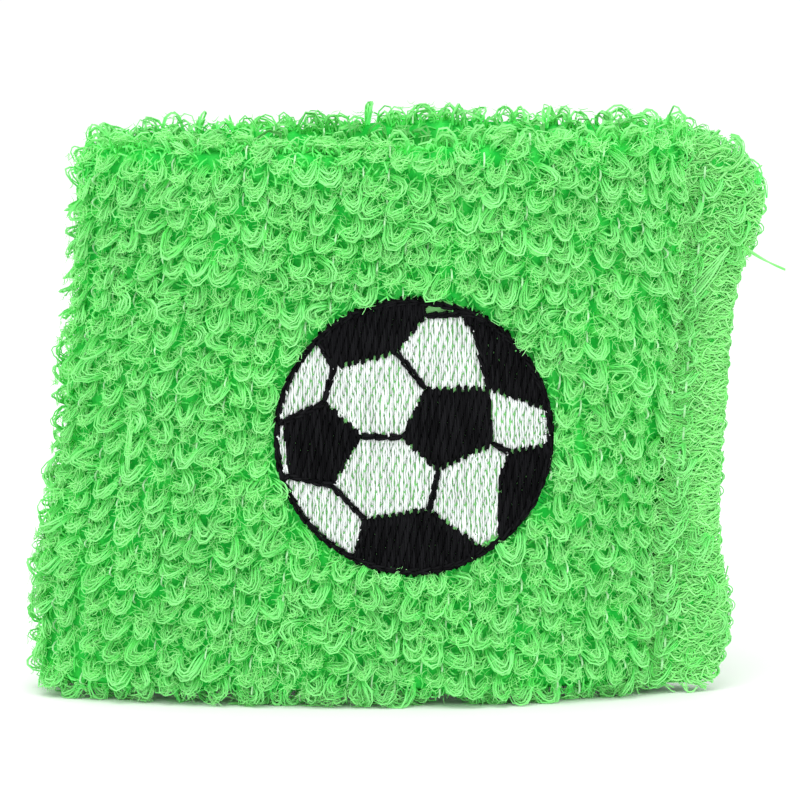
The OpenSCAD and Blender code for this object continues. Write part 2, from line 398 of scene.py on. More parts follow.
def tubes(name: str, paths: np.ndarray, radii: np.ndarray | float, tip: np.ndarray | float,
          strand: np.ndarray, sides: int = 3) -> bpy.types.Object:
    """Makes many thin tubes as one mesh, each swept along its own path.

    Args:
        name: The piece's name.
        paths: Points of each tube, (count, points, 3), in metres.
        radii: Radius in metres, one for all or one for each point, (count, points).
        tip: How far each point is from the root, 0 to 1, one for all or one for each.
        strand: A value of its own for each tube, 0 to 1, (count,).
        sides: Number of sides of a tube's section.

    Returns:
        The mesh object, with its tip and strand values as attributes.
    """
    count, points = paths.shape[:2]
    radii = np.broadcast_to(radii, (count, points))
    tip = np.broadcast_to(tip, (count, points))
    section = ring_curve(sides)
    curve = bpy.data.curves.new(name, "CURVE")
    curve.dimensions = "3D"
    curve.bevel_mode = "OBJECT"
    curve.bevel_object = section
    curve.use_fill_caps = True
    places = np.concatenate([paths, np.ones((count, points, 1))], axis=2)
    widths = radii / MM
    for k in range(count):
        spline = curve.splines.new("POLY")
        spline.points.add(points - 1)
        spline.points.foreach_set("co", places[k].ravel())
        spline.points.foreach_set("radius", widths[k])
    holder = bpy.data.objects.new(name + "_path", curve)
    bpy.context.scene.collection.objects.link(holder)
    bpy.context.view_layer.update()
    solid = holder.evaluated_get(bpy.context.evaluated_depsgraph_get())
    mesh = bpy.data.meshes.new_from_object(solid)
    bpy.data.objects.remove(holder)
    bpy.data.objects.remove(section)
    mesh.name = name
    for label, values in (("tip", tip), ("strand", np.repeat(strand[:, None], points, axis=1))):
        caps = np.stack([values[::-1, -1], values[::-1, 0]], axis=1)
        spread = np.repeat(np.concatenate([caps.ravel(), values.ravel()]), sides)
        attribute = mesh.attributes.new(label, "FLOAT", "POINT")
        attribute.data.foreach_set("value", spread.astype(np.float32))
    body = bmesh.new()
    body.from_mesh(mesh)
    bmesh.ops.remove_doubles(body, verts=body.verts, dist=1e-7)
    if body.calc_volume(signed=True) < 0:
        bmesh.ops.reverse_faces(body, faces=body.faces)
    body.to_mesh(mesh)
    body.free()
    piece = bpy.data.objects.new(name, mesh)
    bpy.context.scene.collection.objects.link(piece)
    return piece


# ---------------------------------------------------------------- the knitted ground

@dataclass
class Surface:
    """The settled middle of the knitted ground, as a grid that wraps both ways."""

    points: np.ndarray
    normals: np.ndarray = field(init=False)
    along: np.ndarray = field(init=False)
    up: np.ndarray = field(init=False)

    def __post_init__(self) -> None:
        """Works out the directions at each grid point."""
        self.along = unit(np.roll(self.points, -1, 0) - np.roll(self.points, 1, 0))
        self.up = unit(np.roll(self.points, -1, 1) - np.roll(self.points, 1, 1))
        self.normals = unit(np.cross(self.along, self.up))

    def at(self, s: np.ndarray, t: np.ndarray) -> tuple[np.ndarray, ...]:
        """Looks up places on the surface.

        Args:
            s: Fractions of the way round the loop, from the seam by way of the back.
            t: Fractions of the way round the tube, from the lower fold up the outside.

        Returns:
            The places, and the directions along, up and out there.
        """
        rows, columns = self.points.shape[:2]
        u, v = (s % 1.0) * rows, (t % 1.0) * columns
        i, j = np.floor(u).astype(int) % rows, np.floor(v).astype(int) % columns
        i2, j2 = (i + 1) % rows, (j + 1) % columns
        a, b = (u - np.floor(u))[..., None], (v - np.floor(v))[..., None]

        def mixed(grid: np.ndarray) -> np.ndarray:
            """The grid's value between its four nearest points."""
            low = grid[i, j] * (1 - a) + grid[i2, j] * a
            high = grid[i, j2] * (1 - a) + grid[i2, j2] * a
            return low * (1 - b) + high * b

        return (mixed(self.points), unit(mixed(self.along)), unit(mixed(self.up)),
                unit(mixed(self.normals)))


@dataclass
class KnittedGround:
    """The narrow knitted tube, flattened to two plies and closed into a loop."""

    loop_w: float = 79.0
    wall_t: float = 6.0
    flat_angle: float = 25.0
    lean_angle: float = 4.5
    ply_middle: float = 0.85
    ply_t: float = 0.4
    around_n: int = 132
    section_n: int = 104
    puff_cap: float = 0.5
    corner_drop: float = 1.3
    corner_reach: float = 9.0
    left_bulge: float = 1.5
    surface: Surface = field(init=False)

    def __post_init__(self) -> None:
        """Takes the overall sizes from the frame."""
        low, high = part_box("outer_pile")
        self.height = (high[2] - low[2]) / MM
        self.depth = (high[1] - low[1]) / MM
        self.middle_x = (high[0] + low[0]) / 2 / MM
        self.hole_a = self.loop_w / 2 - self.wall_t
        self.hole_b = self.depth / 2 - self.wall_t
        self.fold_low = self.wall_t / 2 * math.cos(math.radians(self.flat_angle))
        self.fold_high = self.height - self.fold_low
        self.lean = math.tan(math.radians(self.lean_angle))
        angles = np.linspace(0, 2 * math.pi, 2001)
        line = self.outline(angles, self.wall_t / 2)
        steps = np.linalg.norm(np.diff(line, axis=0), axis=1)
        self.angles = angles
        self.travel = np.concatenate([[0], np.cumsum(steps)])
        self.girth = float(self.travel[-1])
        self.tube = 2 * (self.fold_high - self.fold_low) + 2 * math.pi * self.ply_middle

    def outline(self, angle: np.ndarray, out: np.ndarray | float) -> np.ndarray:
        """Plan of the loop at a distance out from the wrist opening.

        Args:
            angle: Angles round the loop, in radians, 0 at the seam.
            out: Distance out from the opening's edge, in millimetres.

        Returns:
            Points (..., 2) about the loop's own middle, in millimetres.
        """
        edge = np.stack([self.hole_a * np.cos(angle), self.hole_b * np.sin(angle)], -1)
        way = unit(np.stack([np.cos(angle) / self.hole_a, np.sin(angle) / self.hole_b], -1))
        return edge + way * np.asarray(out)[..., None]

    def section(self, t: np.ndarray) -> tuple[np.ndarray, np.ndarray]:
        """Where a fraction of the way round the tube lies.

        Args:
            t: Fractions from the lower fold's middle, up the outside and down the inside.

        Returns:
            Distance out from the wall's middle, and height, in millimetres.
        """
        quarter = math.pi * self.ply_middle / 2
        wall = self.fold_high - self.fold_low
        ends = np.cumsum([0, quarter, wall, 2 * quarter, wall, quarter])
        d = (t % 1.0) * ends[-1]
        r = self.ply_middle
        low_turn = np.where(d < ends[1], d / r, (d - ends[5]) / r)
        top_turn = (d - ends[2]) / r
        in_low = (d < ends[1]) | (d >= ends[4])
        in_top = (d >= ends[2]) & (d < ends[3])
        out = np.where(in_low, r * np.sin(low_turn), np.where(in_top, r * np.cos(top_turn), r))
        out = np.where((d >= ends[3]) & (d < ends[4]), -r, out)
        z = np.where(d < ends[2], self.fold_low + d - ends[1], self.fold_high - (d - ends[3]))
        z = np.where(in_low, self.fold_low - r * np.cos(low_turn), z)
        z = np.where(in_top, self.fold_high + r * np.sin(top_turn), z)
        return out, z

    def rest(self, s: np.ndarray, t: np.ndarray) -> np.ndarray:
        """Places on the ground before it is puffed out, in metres."""
        angle = np.interp((s % 1.0) * self.girth, self.travel, self.angles)
        out, z = self.section(t)
        plan = self.outline(angle, self.wall_t / 2 + out)
        level = z / self.height - 0.5
        to_corner = np.abs((s % 1.0) - 0.5) * self.girth / self.corner_reach
        corner = np.clip(1 - to_corner, 0, 1) ** 2
        z = z - 2 * level * self.corner_drop * corner
        swell = 0.45 * np.sin(3 * angle + 1.2 + 4 * level) + 0.3 * np.sin(7 * angle - 5 * level)
        way = unit(np.stack([np.cos(angle) / self.hole_a, np.sin(angle) / self.hole_b], -1))
        plan = plan + way * swell[..., None] * 0.6
        back = np.clip(np.sin(angle), 0, 1)
        ripple = 0.3 * np.sin(5 * angle + 0.6) * np.abs(np.sin(angle))
        rise = (level + 0.5) * (0.5 + 0.7 * back + 0.8 * np.cos(angle) + ripple)
        x = self.middle_x + plan[..., 0] + self.lean * (z - self.height / 2)
        x = x + 0.35 * np.sin(9 * level + 0.5) * np.abs(np.cos(angle)) ** 4
        left = np.clip(-np.cos(angle), 0, 1) ** 3
        bulge = self.left_bulge * np.exp(-((z - 12.0) / 14.0) ** 2)
        x = x - left * (1.2 + bulge + 0.8 * np.exp(-((z - 42.0) / 8.0) ** 2))
        return np.stack([x, plan[..., 1], z + rise], -1) * MM

    def settle(self) -> None:
        """Puffs the closed grid out by cloth simulation, and keeps it as the surface."""
        body = bmesh.new()
        bmesh.ops.create_grid(body, x_segments=self.around_n, y_segments=self.section_n, size=0.5)
        column = body.verts.layers.int.new("column")
        row = body.verts.layers.int.new("row")
        places = np.array([v.co[:2] for v in body.verts]) + 0.5
        i = np.rint(places[:, 0] * self.around_n).astype(int) % self.around_n
        j = np.rint(places[:, 1] * self.section_n).astype(int) % self.section_n
        rest = self.rest(i / self.around_n, j / self.section_n)
        for v, a, b, place in zip(body.verts, i, j, rest):
            v[column], v[row], v.co = int(a), int(b), place
        bmesh.ops.remove_doubles(body, verts=body.verts, dist=1e-7)
        cloth = linked("ground_cloth", body)
        mesh = cloth.data
        before = np.empty(len(mesh.vertices) * 3)
        mesh.vertices.foreach_get("co", before)
        after = self.puffed(cloth)
        move = (after - before).reshape(-1, 3)
        length = np.linalg.norm(move, axis=1, keepdims=True)
        cap = self.puff_cap * MM
        move = move * (cap * np.tanh(length / cap) / np.maximum(length, 1e-12))
        grid = np.empty((self.around_n, self.section_n, 3))
        a = np.empty(len(mesh.vertices), dtype=np.int32)
        b = np.empty(len(mesh.vertices), dtype=np.int32)
        mesh.attributes["column"].data.foreach_get("value", a)
        mesh.attributes["row"].data.foreach_get("value", b)
        grid[a, b] = before.reshape(-1, 3) + move
        bpy.data.objects.remove(cloth)
        self.surface = Surface(grid)
        log.info("ground settled: moved up to %.2f mm", float(length.max() / MM))

    def puffed(self, cloth: bpy.types.Object) -> np.ndarray:
        """Runs the cloth simulation.

        Args:
            cloth: The closed ground grid.

        Returns:
            The vertex places after it, as one flat list in metres.
        """
        scene = bpy.context.scene
        modifier = cloth.modifiers.new("puff", "CLOTH")
        settings = modifier.settings
        settings.quality = 5
        settings.mass = 0.3
        settings.tension_stiffness = 15
        settings.compression_stiffness = 15
        settings.bending_stiffness = 0.5
        settings.use_pressure = True
        settings.uniform_pressure_force = 4
        settings.effector_weights.gravity = 0
        for number in range(1, 21):
            scene.frame_set(number)
        puffed = cloth.evaluated_get(bpy.context.evaluated_depsgraph_get()).data
        after = np.empty(len(puffed.vertices) * 3)
        puffed.vertices.foreach_get("co", after)
        scene.frame_set(1)
        return after

    def ply(self, name: str, outer: bool) -> bpy.types.Object:
        """One ply of the ground, from fold to fold, as a thin closed solid.

        Args:
            name: The piece's name.
            outer: True for the ply away from the wrist.

        Returns:
            The mesh object.
        """
        half = self.section_n // 2
        start = 0.0 if outer else 0.5
        body = bmesh.new()
        bmesh.ops.create_grid(body, x_segments=self.around_n, y_segments=half, size=0.5)
        places = np.array([v.co[:2] for v in body.verts]) + 0.5
        points, _, _, normals = self.surface.at(places[:, 0], start + places[:, 1] / 2 * 0.9999)
        for v, place in zip(body.verts, points + normals * (self.ply_t / 2 * MM)):
            v.co = place
        bmesh.ops.remove_doubles(body, verts=body.verts, dist=1e-7)
        bmesh.ops.recalc_face_normals(body, faces=body.faces)
        return thickened(linked(name, body), self.ply_t, -1.0)


# ---------------------------------------------------------------- the pile

@dataclass
class Pile:
    """Rows of open loops that droop from the ground, each a bundle of fibres."""

    ground: KnittedGround
    pitch: float = 2.95
    row_pitch: float = 2.885
    skew: float = 0.15
    width: float = 2.3
    reach: float = 1.95
    rise: float = 1.3
    droop: float = 1.2
    yarn_r: float = 0.78
    strand_r: float = 0.088
    hair_r: float = 0.05
    nap_r: float = 0.115
    dash_r: float = 0.13
    dash_share: float = 0.45
    jitter: float = 0.24
    turn_spread: float = 0.75
    size_spread: float = 0.15
    lean_spread: float = 0.4
    wobble: float = 0.17
    fold_pitch: float = 1.9
    seam_gap: float = 0.7
    ball_gap: float = 0.85
    ball_lift: float = 0.5

    def __post_init__(self) -> None:
        """Finds the ball's place in the frame."""
        low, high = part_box("ball_outline_thread")
        self.ball = (np.array(low) + np.array(high)) / 2
        self.ball_r = (high[0] - low[0]) / 2

    def grid(self, rng: np.random.Generator) -> tuple[np.ndarray, np.ndarray]:
        """Places of every loop, as fractions of the loop and the tube.

        Args:
            rng: The seeded random source.

        Returns:
            Two flat arrays, s and t.
        """
        columns = round(self.ground.girth / self.pitch)
        rows = round(self.ground.tube / self.row_pitch)
        s, t = np.meshgrid(np.arange(columns) + 0.5, np.arange(rows) + 0.5, indexing="ij")
        s = s / columns
        t = t / rows - self.skew * (s - 0.75) * self.ground.girth / self.ground.tube
        s = s + rng.normal(0, self.jitter, s.shape) / self.ground.girth
        t = t + rng.normal(0, self.jitter, t.shape) / self.ground.tube
        extra = round(self.ground.girth / self.fold_pitch)
        rim = np.arange(2 * extra) / extra + rng.normal(0, 0.3, 2 * extra) / self.ground.girth
        level = np.where(np.arange(2 * extra) < extra, 0.5, 1.0)
        level = level + rng.normal(0, 0.7, 2 * extra) / self.ground.tube
        s, t = np.concatenate([s.ravel(), rim]), np.concatenate([t.ravel(), level])
        clear = np.minimum(s % 1, 1 - s % 1) * self.ground.girth > self.seam_gap
        return s[clear], t[clear] % 1

    def off_ball(self, s: np.ndarray, t: np.ndarray, gap: float, lift: float = 0.0) -> np.ndarray:
        """True where a place isn't under the embroidered ball.

        Args:
            s: Fractions round the loop.
            t: Fractions round the tube.
            gap: Clearance kept from the ball's rim, in millimetres.
            lift: How much higher than the ball the cleared circle lies.

        Returns:
            One truth value for each place.
        """
        place, _, _, out = self.ground.surface.at(s, t)
        away = np.hypot(place[:, 0] - self.ball[0], place[:, 2] - self.ball[2] - lift * MM)
        return (away > self.ball_r + gap * MM) | (out[:, 1] > -0.3)

    def loops(self, name: str, spots: tuple[np.ndarray, ...], fold: np.ndarray, strands: int,
              points: int, rng: np.random.Generator, thick: float = 1.0) -> bpy.types.Object:
        """Makes the loops at some places as one piece.

        Args:
            name: The piece's name.
            spots: The places, and the directions along, up and out there.
            fold: Distance of each from the nearest fold, in millimetres.
            strands: Number of fibres in each loop.
            points: Number of points along each fibre.
            rng: The seeded random source.
            thick: How many times the usual radius the fibres have.

        Returns:
            The mesh object.
        """
        count = len(fold)
        edge_on = np.abs(spots[1][:, 1]) > 0.85
        turn = rng.normal(0, self.turn_spread, count)
        turn = turn + np.where(edge_on, rng.normal(1.3, 0.3, count), 0)
        size = rng.normal(1, self.size_spread, count)
        stand = (1 - 0.8 * np.exp(-(fold / 2.0) ** 2)) * np.where(edge_on, 0.5, 1)
        stand = stand * rng.uniform(0.7, 1.15, count)
        lean = rng.normal(0, self.lean_spread, count)
        phi = np.linspace(0, math.pi, points)
        arc = np.sin(phi)[None, :]
        fibres = count * strands
        owner = np.repeat(np.arange(count), strands)
        big = size[owner][:, None]
        spin = rng.uniform(0, 2 * math.pi, fibres)
        spread = self.yarn_r * np.sqrt(rng.uniform(0, 1, fibres))
        twist = spin[:, None] + phi[None, :] * rng.normal(0.5, 0.4, fibres)[:, None]
        open_up = 0.55 + 0.6 * arc
        radial = spread[:, None] * np.cos(twist) * open_up
        across = spread[:, None] * np.sin(twist) * open_up
        wave = rng.uniform(1.5, 3.5, (3, fibres, 1)) * phi + rng.uniform(0, 6.28, (3, fibres, 1))
        wobble = self.wobble * np.sin(wave)
        a = -np.cos(phi)[None, :] * (self.width / 2 * big + radial) + lean[owner][:, None] * arc
        n = (self.reach * big + across + radial * 0.5) * np.clip(arc, 0, 1) ** 0.75 - 0.12
        down = self.rise - (self.rise + self.droop) * np.clip(arc, 0, 1) ** 1.2
        b = down * big * stand[owner][:, None] - radial * arc
        a, n, b = a + wobble[0], n + wobble[1] * arc, b + wobble[2]
        cos, sin = np.cos(turn)[owner][:, None], np.sin(turn)[owner][:, None]
        a, b = a * cos - b * sin, a * sin + b * cos
        paths = laid(tuple(part[owner] for part in spots), a, b, n, 0.15)
        radii = thick * self.strand_r * MM * rng.uniform(0.6, 1.3, fibres)[:, None]
        # Tip runs from 0 at the ground to 1 at the crest: painted shade at the roots, a painted highlight
        # at the crests.
        tip = np.clip(np.sin(phi), 0, 1) ** 0.8
        return tubes(name, paths, radii, tip, rng.uniform(0, 1, fibres))

    def fuzz(self, name: str, s: np.ndarray, t: np.ndarray, hairs: int,
             rng: np.random.Generator) -> bpy.types.Object:
        """Fine hairs that stand away from the loops.

        Args:
            name: The piece's name.
            s: Fractions round the loop, of the loops that they stand on.
            t: Fractions round the tube.
            hairs: Number of hairs on each loop.
            rng: The seeded random source.

        Returns:
            The mesh object.
        """
        count = len(s) * hairs
        owner = np.repeat(np.arange(len(s)), hairs)
        phi = rng.uniform(0.1, math.pi - 0.1, count)
        a = -np.cos(phi) * self.width / 2 + rng.normal(0, 0.15, count)
        n = np.sin(phi) ** 0.75 * self.reach + rng.normal(0.1, 0.15, count)
        b = self.rise - (self.rise + self.droop) * np.sin(phi) ** 1.2 + rng.normal(0, 0.2, count)
        heading = np.arctan2(-np.cos(phi), np.sin(phi)) + rng.normal(0, 0.9, count)
        part = np.linspace(-0.5, 0.5, 4)[None, :]
        step = part * rng.uniform(0.8, 2.2, count)[:, None]
        bow = rng.normal(0, 0.3, count)[:, None] * (1 - 4 * part ** 2)
        lift = rng.uniform(-0.1, 0.45, count)[:, None] * np.abs(2 * part) ** 2
        da = np.cos(heading)[:, None] * step - np.sin(heading)[:, None] * bow
        db = np.sin(heading)[:, None] * step + np.cos(heading)[:, None] * bow
        n = np.maximum(n, 0.3)[:, None] + lift
        spots = self.ground.surface.at(s[owner], t[owner])
        paths = laid(spots, a[:, None] + da, b[:, None] + db, n, 0.1)
        taper = np.array([0.5, 1.0, 0.9, 0.4])
        radii = self.hair_r * MM * rng.uniform(0.7, 1.3, count)[:, None] * taper[None, :]
        return tubes(name, paths, radii, 1.0, rng.uniform(0.3, 1, count))

    def nap(self, name: str, count: int, rng: np.random.Generator) -> bpy.types.Object:
        """Short curled fibres that cover the ground between the loops of the outside.

        Args:
            name: The piece's name.
            count: Number of places tried; more of them are kept at the rim of the ball.
            rng: The seeded random source.

        Returns:
            The mesh object.
        """
        part = rng.uniform(0, 1, count)
        on_front, on_back = part < 0.6, part > 0.82
        s = np.where(on_front, rng.uniform(0.47, 1.0, count), rng.uniform(0, 1, count))
        s = np.where(on_back, rng.uniform(0, 0.5, count), s)
        wall, top_fold = rng.uniform(-0.02, 0.5, count), rng.uniform(0.46, 0.55, count)
        t = np.where(on_front | on_back, wall, top_fold)
        place, _, _, out = self.ground.surface.at(s, t)
        away = np.hypot(place[:, 0] - self.ball[0], place[:, 2] - self.ball[2]) - self.ball_r
        rim = (np.abs(away - 1.4 * MM) < 1.6 * MM) & (out[:, 1] < -0.3)
        keep = self.off_ball(s, t, 0.1) & (rim | (rng.uniform(0, 1, count) < 0.45))
        s, t = s[keep], t[keep]
        count = len(s)
        heading = rng.uniform(0, 2 * math.pi, count)
        turn = heading[:, None] + rng.normal(0, 0.9, count)[:, None] * np.linspace(0, 1, 4)[None, :]
        step = rng.uniform(0.35, 0.7, count)[:, None]
        a = np.cumsum(np.cos(turn) * step, axis=1)
        b = np.cumsum(np.sin(turn) * step, axis=1)
        n = 0.25 + rng.uniform(0.1, 1.0, count)[:, None] * np.sin(np.linspace(0.1, 3.0, 4))[None, :]
        paths = laid(self.ground.surface.at(s, t), a, b, n, 0.1)
        # The tip value grows with height off the ground: painted shade on low fibres, paler painted
        # highlight on higher ones.
        return tubes(name, paths, self.nap_r * MM, n * 0.6, rng.uniform(0, 1, count))

    def dashes(self, name: str, rng: np.random.Generator) -> bpy.types.Object:
        """Short upright floats of the pale ground yarn, between the columns of loops.

        Args:
            name: The piece's name.
            rng: The seeded random source.

        Returns:
            The mesh object.
        """
        columns = round(self.ground.girth / self.pitch)
        rows = round(self.ground.tube / self.row_pitch)
        s, t = np.meshgrid(np.arange(columns), np.arange(rows) + 0.75, indexing="ij")
        s = s / columns
        t = t / rows - self.skew * (s - 0.75) * self.ground.girth / self.ground.tube
        s, t = s.ravel(), t.ravel()
        keep = (rng.uniform(0, 1, len(s)) < self.dash_share) & self.off_ball(s, t, 0.4)
        s, t = s[keep], t[keep] % 1
        step = np.linspace(-0.5, 0.5, 6)
        length = rng.uniform(1.5, 2.3, len(s))[:, None] * step[None, :]
        arch = 0.3 + rng.uniform(0.6, 1.4, len(s))[:, None] * (1 - 4 * step ** 2)[None, :]
        sway = rng.normal(0, 0.12, len(s))[:, None] + rng.normal(0, 0.03, (len(s), 6))
        paths = laid(self.ground.surface.at(s, t), sway, length, arch)
        return tubes(name, paths, self.dash_r * MM, 1.0, rng.uniform(0, 1, len(s)))

    def build(self) -> list[bpy.types.Object]:
        """Makes the pile of both faces, and returns its pieces."""
        rng = np.random.default_rng(41)
        s, t = self.grid(rng)
        outer = t < 0.5
        front = s > 0.5
        bare = self.off_ball(s, t, self.ball_gap, self.ball_lift)
        pieces = []
        left = s < 0.755
        plans = [
            ("outer_pile_front_left", outer & front & left & bare, 14, 8, 32, 1.0, "outer_pile"),
            ("outer_pile_front_right", outer & front & ~left & bare, 14, 8, 32, 1.0, "outer_pile"),
            ("outer_pile_back", outer & ~front, 6, 8, 7, 1.5, "outer_pile"),
            ("inner_pile_front", ~outer & front, 4, 6, 2, 1.7, "inner_pile"),
            ("inner_pile_back", ~outer & ~front, 4, 6, 2, 1.7, "inner_pile"),
        ]
        for name, pick, strands, points, hairs, thick, node in plans:
            fold = np.minimum(np.abs(t - 0.5), np.minimum(t, 1 - t))[pick] * self.ground.tube
            spots = self.ground.surface.at(s[pick], t[pick])
            piece = self.loops(name, spots, fold, strands, points, rng, thick)
            dress(piece, PILE_FINISH, node)
            hair = self.fuzz(name + "_fuzz", s[pick], t[pick], hairs, rng)
            dress(hair, FUZZ_FINISH)
            pieces += [piece, hair]
        nap = self.nap("outer_nap", 21500, rng)
        dress(nap, PILE_FINISH)
        dash = self.dashes("ground_yarn_floats", rng)
        dress(dash, GROUND_YARN_FINISH)
        return pieces + [nap, dash]


# ---------------------------------------------------------------- the embroidery

@dataclass
class Embroidery:
    """The football, sewn in upright rows of stitches with a running outline."""

    ground: KnittedGround
    rim_w: float = 0.7
    white_row: float = 0.29
    black_row: float = 0.225
    stitch_l: float = 3.5
    white_r: float = 0.135
    black_r: float = 0.2
    outline_r: float = 0.19
    wisp_r: float = 0.03
    white_arch: float = 0.76
    black_arch: float = 0.88
    parting: float = 0.65
    gap_pitch: float = 1.2
    gap_rise: float = 0.95
    middle: tuple = ((8, 35), (54, 34), (57, -6), (17, -24), (-9, 0))
    left: tuple = ((-93, 11), (-64, 25), (-37, 1), (-58, -35), (-89, -29))
    top_left: tuple = ((8, 88), (-12, 62), (-57, 50))
    top_right: tuple = ((32, 89), (43, 77), (54, 34))
    right: tuple = ((68, -12), (61, -33), (60, -73))
    bottom: tuple = ((-35, -60), (11, -53), (47, -81))

    def __post_init__(self) -> None:
        """Finds the ball in the frame, and a tree of the ground's surface to sew on."""
        low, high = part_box("ball_outline_thread")
        self.centre = (np.array(low) + np.array(high)) / 2
        self.radius = (high[0] - low[0]) / 2 / MM
        grid = self.ground.surface.points
        rows, columns = grid.shape[:2]
        index = np.arange(rows * columns).reshape(rows, columns)
        around = np.roll(index, -1, 0)
        quads = np.stack([index, around, np.roll(around, -1, 1), np.roll(index, -1, 1)], -1)
        self.tree = BVHTree.FromPolygons(
            [Vector(p) for p in grid.reshape(-1, 3)], quads.reshape(-1, 4).tolist()
        )

    @staticmethod
    def rim(start: float, end: float) -> list[tuple[float, float]]:
        """The rim between two angles, with corners outside the ball."""
        a, b = math.radians(start), math.radians(end)
        return [(100 * math.cos(a), 100 * math.sin(a)), (130 * math.cos(a), 130 * math.sin(a)),
                (130 * math.cos(b), 130 * math.sin(b)), (100 * math.cos(b), 100 * math.sin(b))]

    def black_fields(self) -> dict[str, list]:
        """Corners of the black fields, in hundredths of the radius, by node."""
        return {
            "black_field_middle": list(self.middle),
            "black_field_top_right": [*self.top_right, *self.rim(10, 70)],
            "black_field_top_left": [*self.top_left, *self.rim(134, 84)],
            "black_field_left": list(self.left),
            "black_field_bottom": [*self.bottom, *self.rim(-60, -115)],
            "black_field_right": [*self.right, *self.rim(-50, -4)],
        }

    def white_fields(self) -> dict[str, list]:
        """Corners of the white fields, in hundredths of the radius, by node."""
        m, e, a, b, c, d = (self.middle, self.left, self.top_left, self.top_right, self.right,
                            self.bottom)
        return {
            "white_field_top": [a[1], m[0], m[1], b[1], b[0], a[0]],
            "white_field_upper_left": [m[0], m[4], e[2], e[1], a[2], a[1]],
            "white_field_lower_left": [m[4], m[3], d[1], d[0], e[3], e[2]],
            "white_field_lower_right": [m[3], m[2], c[0], c[1], c[2], d[2], d[1]],
            "white_field_right": [m[1], m[2], c[0], *self.rim(-4, 10)],
            "white_field_edge_upper_left": [e[0], e[1], a[2], *self.rim(134, 174)],
            "white_field_edge_lower_left": [e[4], e[3], d[0], *self.rim(-115, -162)],
            "white_field_edge_left": [e[4], e[0], *self.rim(174, 198)],
        }

    def on_cloth(self, flat: np.ndarray, height: np.ndarray) -> np.ndarray:
        """Puts flat points on the band's front.

        Args:
            flat: Points right and up from the ball's middle, (..., 2), in millimetres.
            height: Height above the ground's middle, in millimetres, (...).

        Returns:
            Places (..., 3) in metres.
        """
        shape = flat.shape[:-1]
        places = []
        for x, z in flat.reshape(-1, 2):
            start = Vector((self.centre[0] + x * MM, -0.05, self.centre[2] + z * MM))
            hit, normal, _, _ = self.tree.ray_cast(start, Vector((0, 1, 0)))
            places.append((*hit, *normal))
        found = np.array(places).reshape(*shape, 6)
        out = np.where(found[..., 4:5] > 0, -found[..., 3:], found[..., 3:])
        return found[..., :3] + out * height[..., None] * MM

    def runs(self, corners: list, x: float, clip: float) -> list[tuple[float, float]]:
        """Upright runs inside a field at a distance across, cut to the ball.

        Args:
            corners: The field's corners, in millimetres.
            x: Distance right of the ball's middle, in millimetres.
            clip: Radius that the field is cut to.

        Returns:
            Low and high ends of each run, in millimetres.
        """
        if abs(x) >= clip:
            return []
        cuts = []
        for (x0, y0), (x1, y1) in zip(corners, corners[1:] + corners[:1]):
            if (x0 <= x) != (x1 <= x):
                cuts.append(y0 + (y1 - y0) * (x - x0) / (x1 - x0))
        cuts.sort()
        limit = math.sqrt(clip * clip - x * x)
        pairs = [(max(low, -limit), min(high, limit)) for low, high in zip(cuts[::2], cuts[1::2])]
        return [(low, high) for low, high in pairs if high - low > 0.25]

    def parted(self, x: np.ndarray, y: np.ndarray) -> np.ndarray:
        """Pushes thread aside at the gaps that the needle leaves, which lie like bricks.

        Args:
            x: Distances right, in millimetres.
            y: Distances up, in millimetres.

        Returns:
            The new distances right.
        """
        course = np.round(y / self.gap_rise)
        shift = np.where(course % 2 == 0, 0.0, self.gap_pitch / 2)
        nearest = np.round((x - shift) / self.gap_pitch) * self.gap_pitch + shift
        off = x - nearest
        near = np.exp(-(off / 0.3) ** 2 - ((y - course * self.gap_rise) / 0.3) ** 2)
        return x + np.where(off >= 0, 1, -1) * 0.17 * near

    def fill(self, name: str, corners: list, white: bool, rng: np.random.Generator) -> bpy.types.Object:
        """Fills one field with upright rows of stitches, staggered like bricks.

        Args:
            name: The node that the field stands for.
            corners: Its corners, in hundredths of the radius.
            white: True for the thin white fill, False for the dense black one.
            rng: The seeded random source.

        Returns:
            The mesh object.
        """
        shape = [(x * self.radius / 100, y * self.radius / 100) for x, y in corners]
        clip = self.radius - self.rim_w * (0.75 if white else 0.2)
        pitch = self.white_row if white else self.black_row
        left, right = min(p[0] for p in shape), max(p[0] for p in shape)
        crown = self.white_arch if white else self.black_arch
        flats, heights = [], []
        for k in range(math.ceil(left / pitch), math.floor(right / pitch) + 1):
            x = k * pitch
            for low, high in self.runs(shape, x, clip):
                tooth = 0.36 if (k % 4) < 2 else -0.2
                tooth = tooth * 0.5 - 0.12 if white else tooth
                low = low - tooth + rng.normal(0, 0.11)
                high = high + tooth + rng.normal(0, 0.11)
                offset = self.stitch_l * ((k * 0.25) % 1.0 + rng.normal(0, 0.02))
                first = math.floor((low - offset) / self.stitch_l) + 1
                joints = [offset + n * self.stitch_l for n in range(first, first + 14)]
                ends = [low, *[y for y in joints if low + 0.5 < y < high - 0.5], high]
                for y0, y1 in zip(ends, ends[1:]):
                    step = np.linspace(0, 1, 12)
                    y = y0 + (y1 - y0) * step
                    sway = x + rng.normal(0, 0.03) + rng.normal(0, 0.015, 12)
                    if white:
                        sway = sway + self.parting * (self.parted(sway, y) - sway)
                    arch = np.clip(np.sin(step * math.pi), 0, 1) ** 0.35
                    flats.append(np.stack([sway, y], -1))
                    heights.append(0.25 + (crown + rng.normal(0, 0.06)) * arch)
        flat, height = np.array(flats), np.array(heights)
        paths = self.on_cloth(flat, height)
        thread = (self.white_r if white else self.black_r) * MM
        radii = thread * rng.uniform(0.85, 1.12, len(flat))[:, None]
        return tubes(name, paths, radii, 1.0, rng.uniform(0, 1, len(flat)), 4)

    def outline_paths(self) -> list[np.ndarray]:
        """Lines of the running outline, each as points in millimetres."""
        m, e, a, b, c, d = (self.middle, self.left, self.top_left, self.top_right, self.right,
                            self.bottom)

